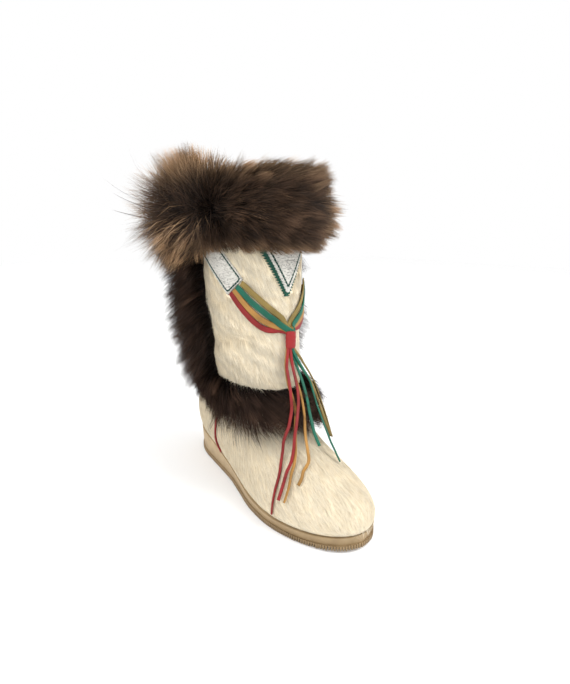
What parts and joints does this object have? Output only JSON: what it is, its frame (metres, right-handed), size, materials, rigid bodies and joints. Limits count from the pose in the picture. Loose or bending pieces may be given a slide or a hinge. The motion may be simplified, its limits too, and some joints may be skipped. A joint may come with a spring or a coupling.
{
  "type": "apres-ski boot",
  "caption": "Calf-high pull-on snow boot for the right foot: hair-on hide, dark fur band, thick fur cuff, coloured leather thongs and a low ribbed wedge sole.",
  "frame": {"origin": "centre of the bounding box's bottom, on the floor the boot stands on", "axes": "toe towards -Y, heel towards +Y, medial (inner) side +X, lateral (outer) side -X, up +Z"},
  "size_m": [0.1902, 0.3384, 0.3243],
  "materials": {
    "rubber": "matt, with cross ribs underneath",
    "insole_board": "felted",
    "hide": "hair-on hide, short cream hair",
    "cuff_fur": "long brown fur",
    "dark_fur": "very dark brown fur",
    "white_leather": "crinkled, slight sheen",
    "red_leather": "smooth thong leather",
    "gold_leather": "smooth thong leather",
    "green_leather": "smooth thong leather",
    "olive_leather": "smooth thong leather"
  },
  "bodies": {
    "root": {"ankle_fur": "dark_fur", "back_fur": "dark_fur", "fur_cuff": "cuff_fur", "insole": "insole_board", "outsole": "rubber", "piping_lateral": "red_leather", "piping_medial": "red_leather", "tab_lateral": "white_leather", "tab_medial": "white_leather", "tassel": "red_leather", "thong_gold_lateral": "gold_leather", "thong_gold_medial": "gold_leather", "thong_green_lateral": "green_leather", "thong_green_medial": "green_leather", "thong_olive_lateral": "olive_leather", "thong_olive_medial": "olive_leather", "thong_red_lateral": "red_leather", "thong_red_medial": "red_leather", "upper": "hide", "v_patch": "white_leather", "v_underlay": "green_leather"}
  },
  "joints": []
}
